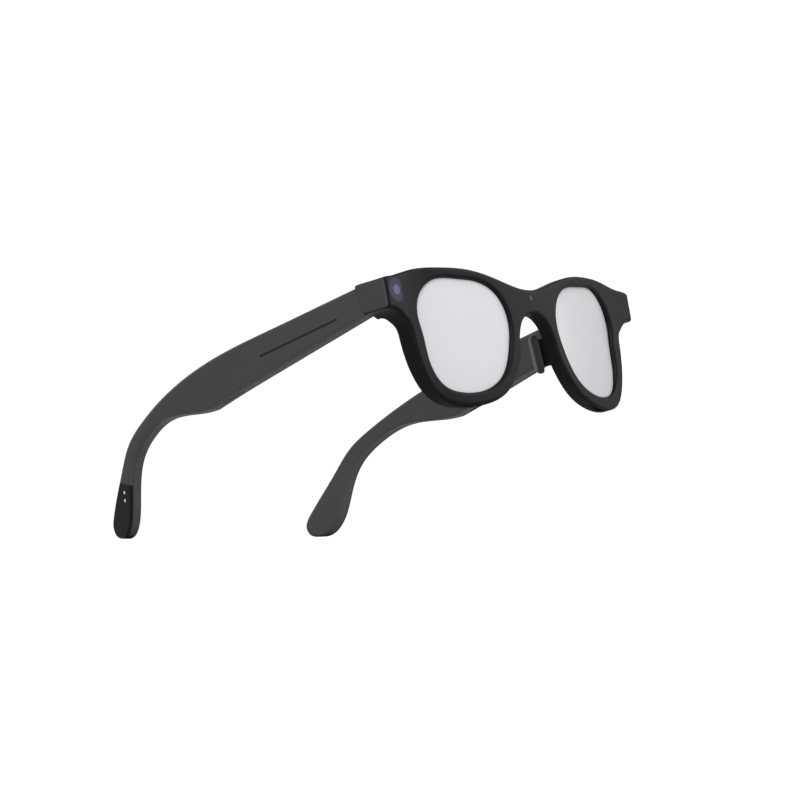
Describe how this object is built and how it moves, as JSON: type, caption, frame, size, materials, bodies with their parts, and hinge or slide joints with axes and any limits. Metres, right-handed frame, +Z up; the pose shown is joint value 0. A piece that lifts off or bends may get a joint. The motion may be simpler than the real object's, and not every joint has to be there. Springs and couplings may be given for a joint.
{
  "type": "smart glasses",
  "caption": "wearable smart glasses with a curved front, flat pale lenses, a camera in one endpiece, thick hinged temples that hold electronics, and a gloss charging cap at one tip",
  "frame": {"origin": "centre of the footprint, on the plane that the rims and the temple tips rest on", "axes": "+X to the wearer's left, +Y towards the back of the head, +Z up"},
  "size_m": [0.1482, 0.153, 0.0473],
  "materials": {
    "front_shell": "satin near-black",
    "temple_shell": "matte dark grey",
    "lens": "polished pale grey",
    "nose_pad": "soft silicone",
    "hinge_metal": "dark steel",
    "camera_glass": "violet coated",
    "camera_ring": "gloss",
    "board": "solder mask",
    "chip": "moulded",
    "trim": "fine matte",
    "battery": "foil pouch",
    "speaker": "moulded",
    "flex": "polyimide",
    "tip_gloss": "piano black",
    "contact": "plated"
  },
  "bodies": {
    "front": {"bridge_microphone_board": "board", "bridge_microphone_port": "trim", "brow_cover": "front_shell", "brow_flex": "flex", "camera_barrel": "camera_ring", "camera_bezel": "camera_ring", "camera_board": "board", "camera_iris": "camera_ring", "camera_lens": "camera_glass", "camera_window": "camera_glass", "front_frame": "front_shell", "hinge_front_leaf_left": "hinge_metal", "hinge_front_leaf_right": "hinge_metal", "hinge_screw_left": "hinge_metal", "hinge_screw_right": "hinge_metal", "lens_left": "lens", "lens_right": "lens", "nose_pad_left": "nose_pad", "nose_pad_right": "nose_pad"},
    "temple_left": {"battery_left": "battery", "hinge_temple_leaf_left": "hinge_metal", "speaker_grille_left": "trim", "speaker_left": "speaker", "temple_inner_cover_left": "temple_shell", "temple_outer_cover_left": "temple_shell", "audio_board": "board", "audio_chip": "chip", "slide_switch": "chip"},
    "temple_right": {"battery_right": "battery", "hinge_temple_leaf_right": "hinge_metal", "speaker_grille_right": "trim", "speaker_right": "speaker", "temple_inner_cover_right": "temple_shell", "temple_outer_cover_right": "temple_shell", "main_board": "board", "processor": "chip", "memory": "chip", "touch_strip": "trim", "touch_board": "board", "button_switch": "chip", "charging_cap": "tip_gloss", "charge_contacts": "contact", "charge_magnets": "contact"},
    "capture_button": {"capture_button": "trim"},
    "power_slider": {"power_slider": "trim"}
  },
  "joints": [
    {"name": "temple_left_fold", "type": "hinge", "parent": "front", "child": "temple_left", "pos_m": [0.06404, -0.05813, 0.03883], "axis": [0, -0.1058, 0.9944], "range_deg": [0, 76]},
    {"name": "temple_right_fold", "type": "hinge", "parent": "front", "child": "temple_right", "pos_m": [-0.06404, -0.05813, 0.03883], "axis": [0, 0.1058, -0.9944], "range_deg": [0, 88]},
    {"name": "capture_button_press", "type": "slide", "parent": "temple_right", "child": "capture_button", "axis": [-0.002, -0.0338, -0.9994], "range_m": [0, 0.0004], "stiffness_N_per_m": 300},
    {"name": "power_slider_slide", "type": "slide", "parent": "temple_left", "child": "power_slider", "axis": [0.0398, 0.9957, -0.0837], "range_m": [0, 0.002]}
  ]
}
